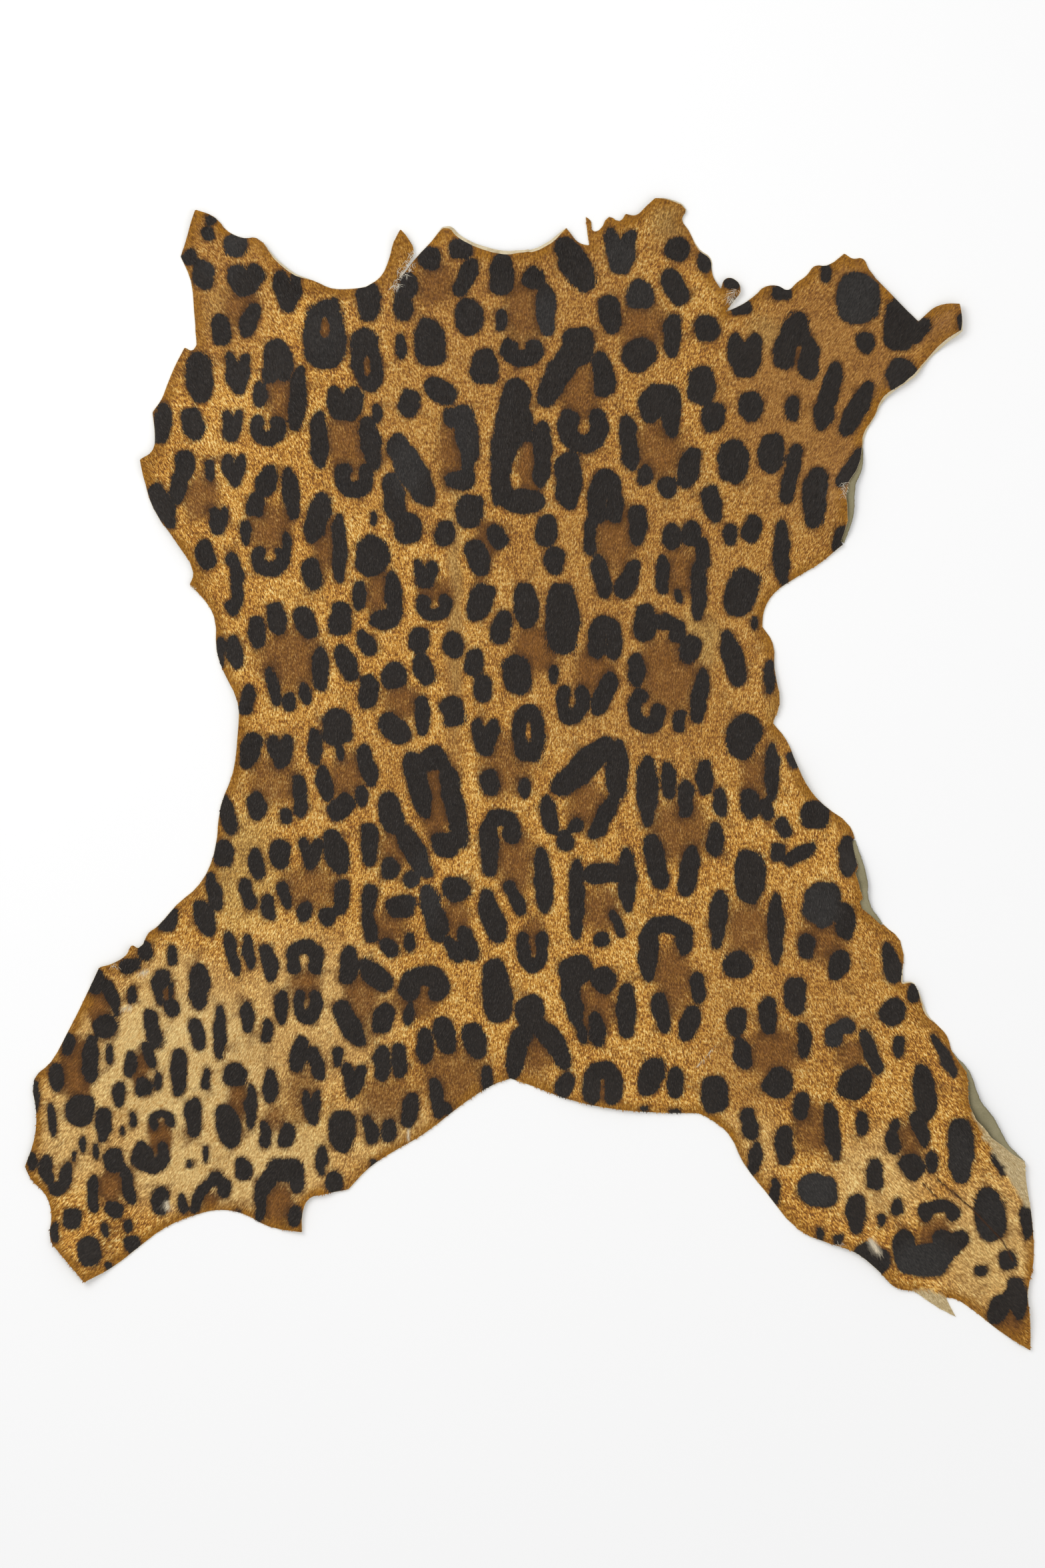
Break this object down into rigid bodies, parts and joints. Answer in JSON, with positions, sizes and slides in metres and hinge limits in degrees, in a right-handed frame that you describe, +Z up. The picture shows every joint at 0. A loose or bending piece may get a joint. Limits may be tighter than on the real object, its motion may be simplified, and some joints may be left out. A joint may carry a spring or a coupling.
{
  "type": "printed calfskin hide",
  "caption": "Hair-on calfskin with a spotted leopard print, cut in the animal's outline with forelegs, neck and hind legs, laid flat as a rug.",
  "frame": {"origin": "middle of the outline's box, on the floor that the flesh side rests on", "axes": "+Z up through the hair side, +Y towards the neck, +X towards the right-hand legs as seen from above"},
  "size_m": [0.9466, 1.0805, 0.0142],
  "materials": {
    "hair": "short printed hair, satin along the lie"
  },
  "bodies": {
    "root": {"hide": "hair"}
  },
  "joints": []
}
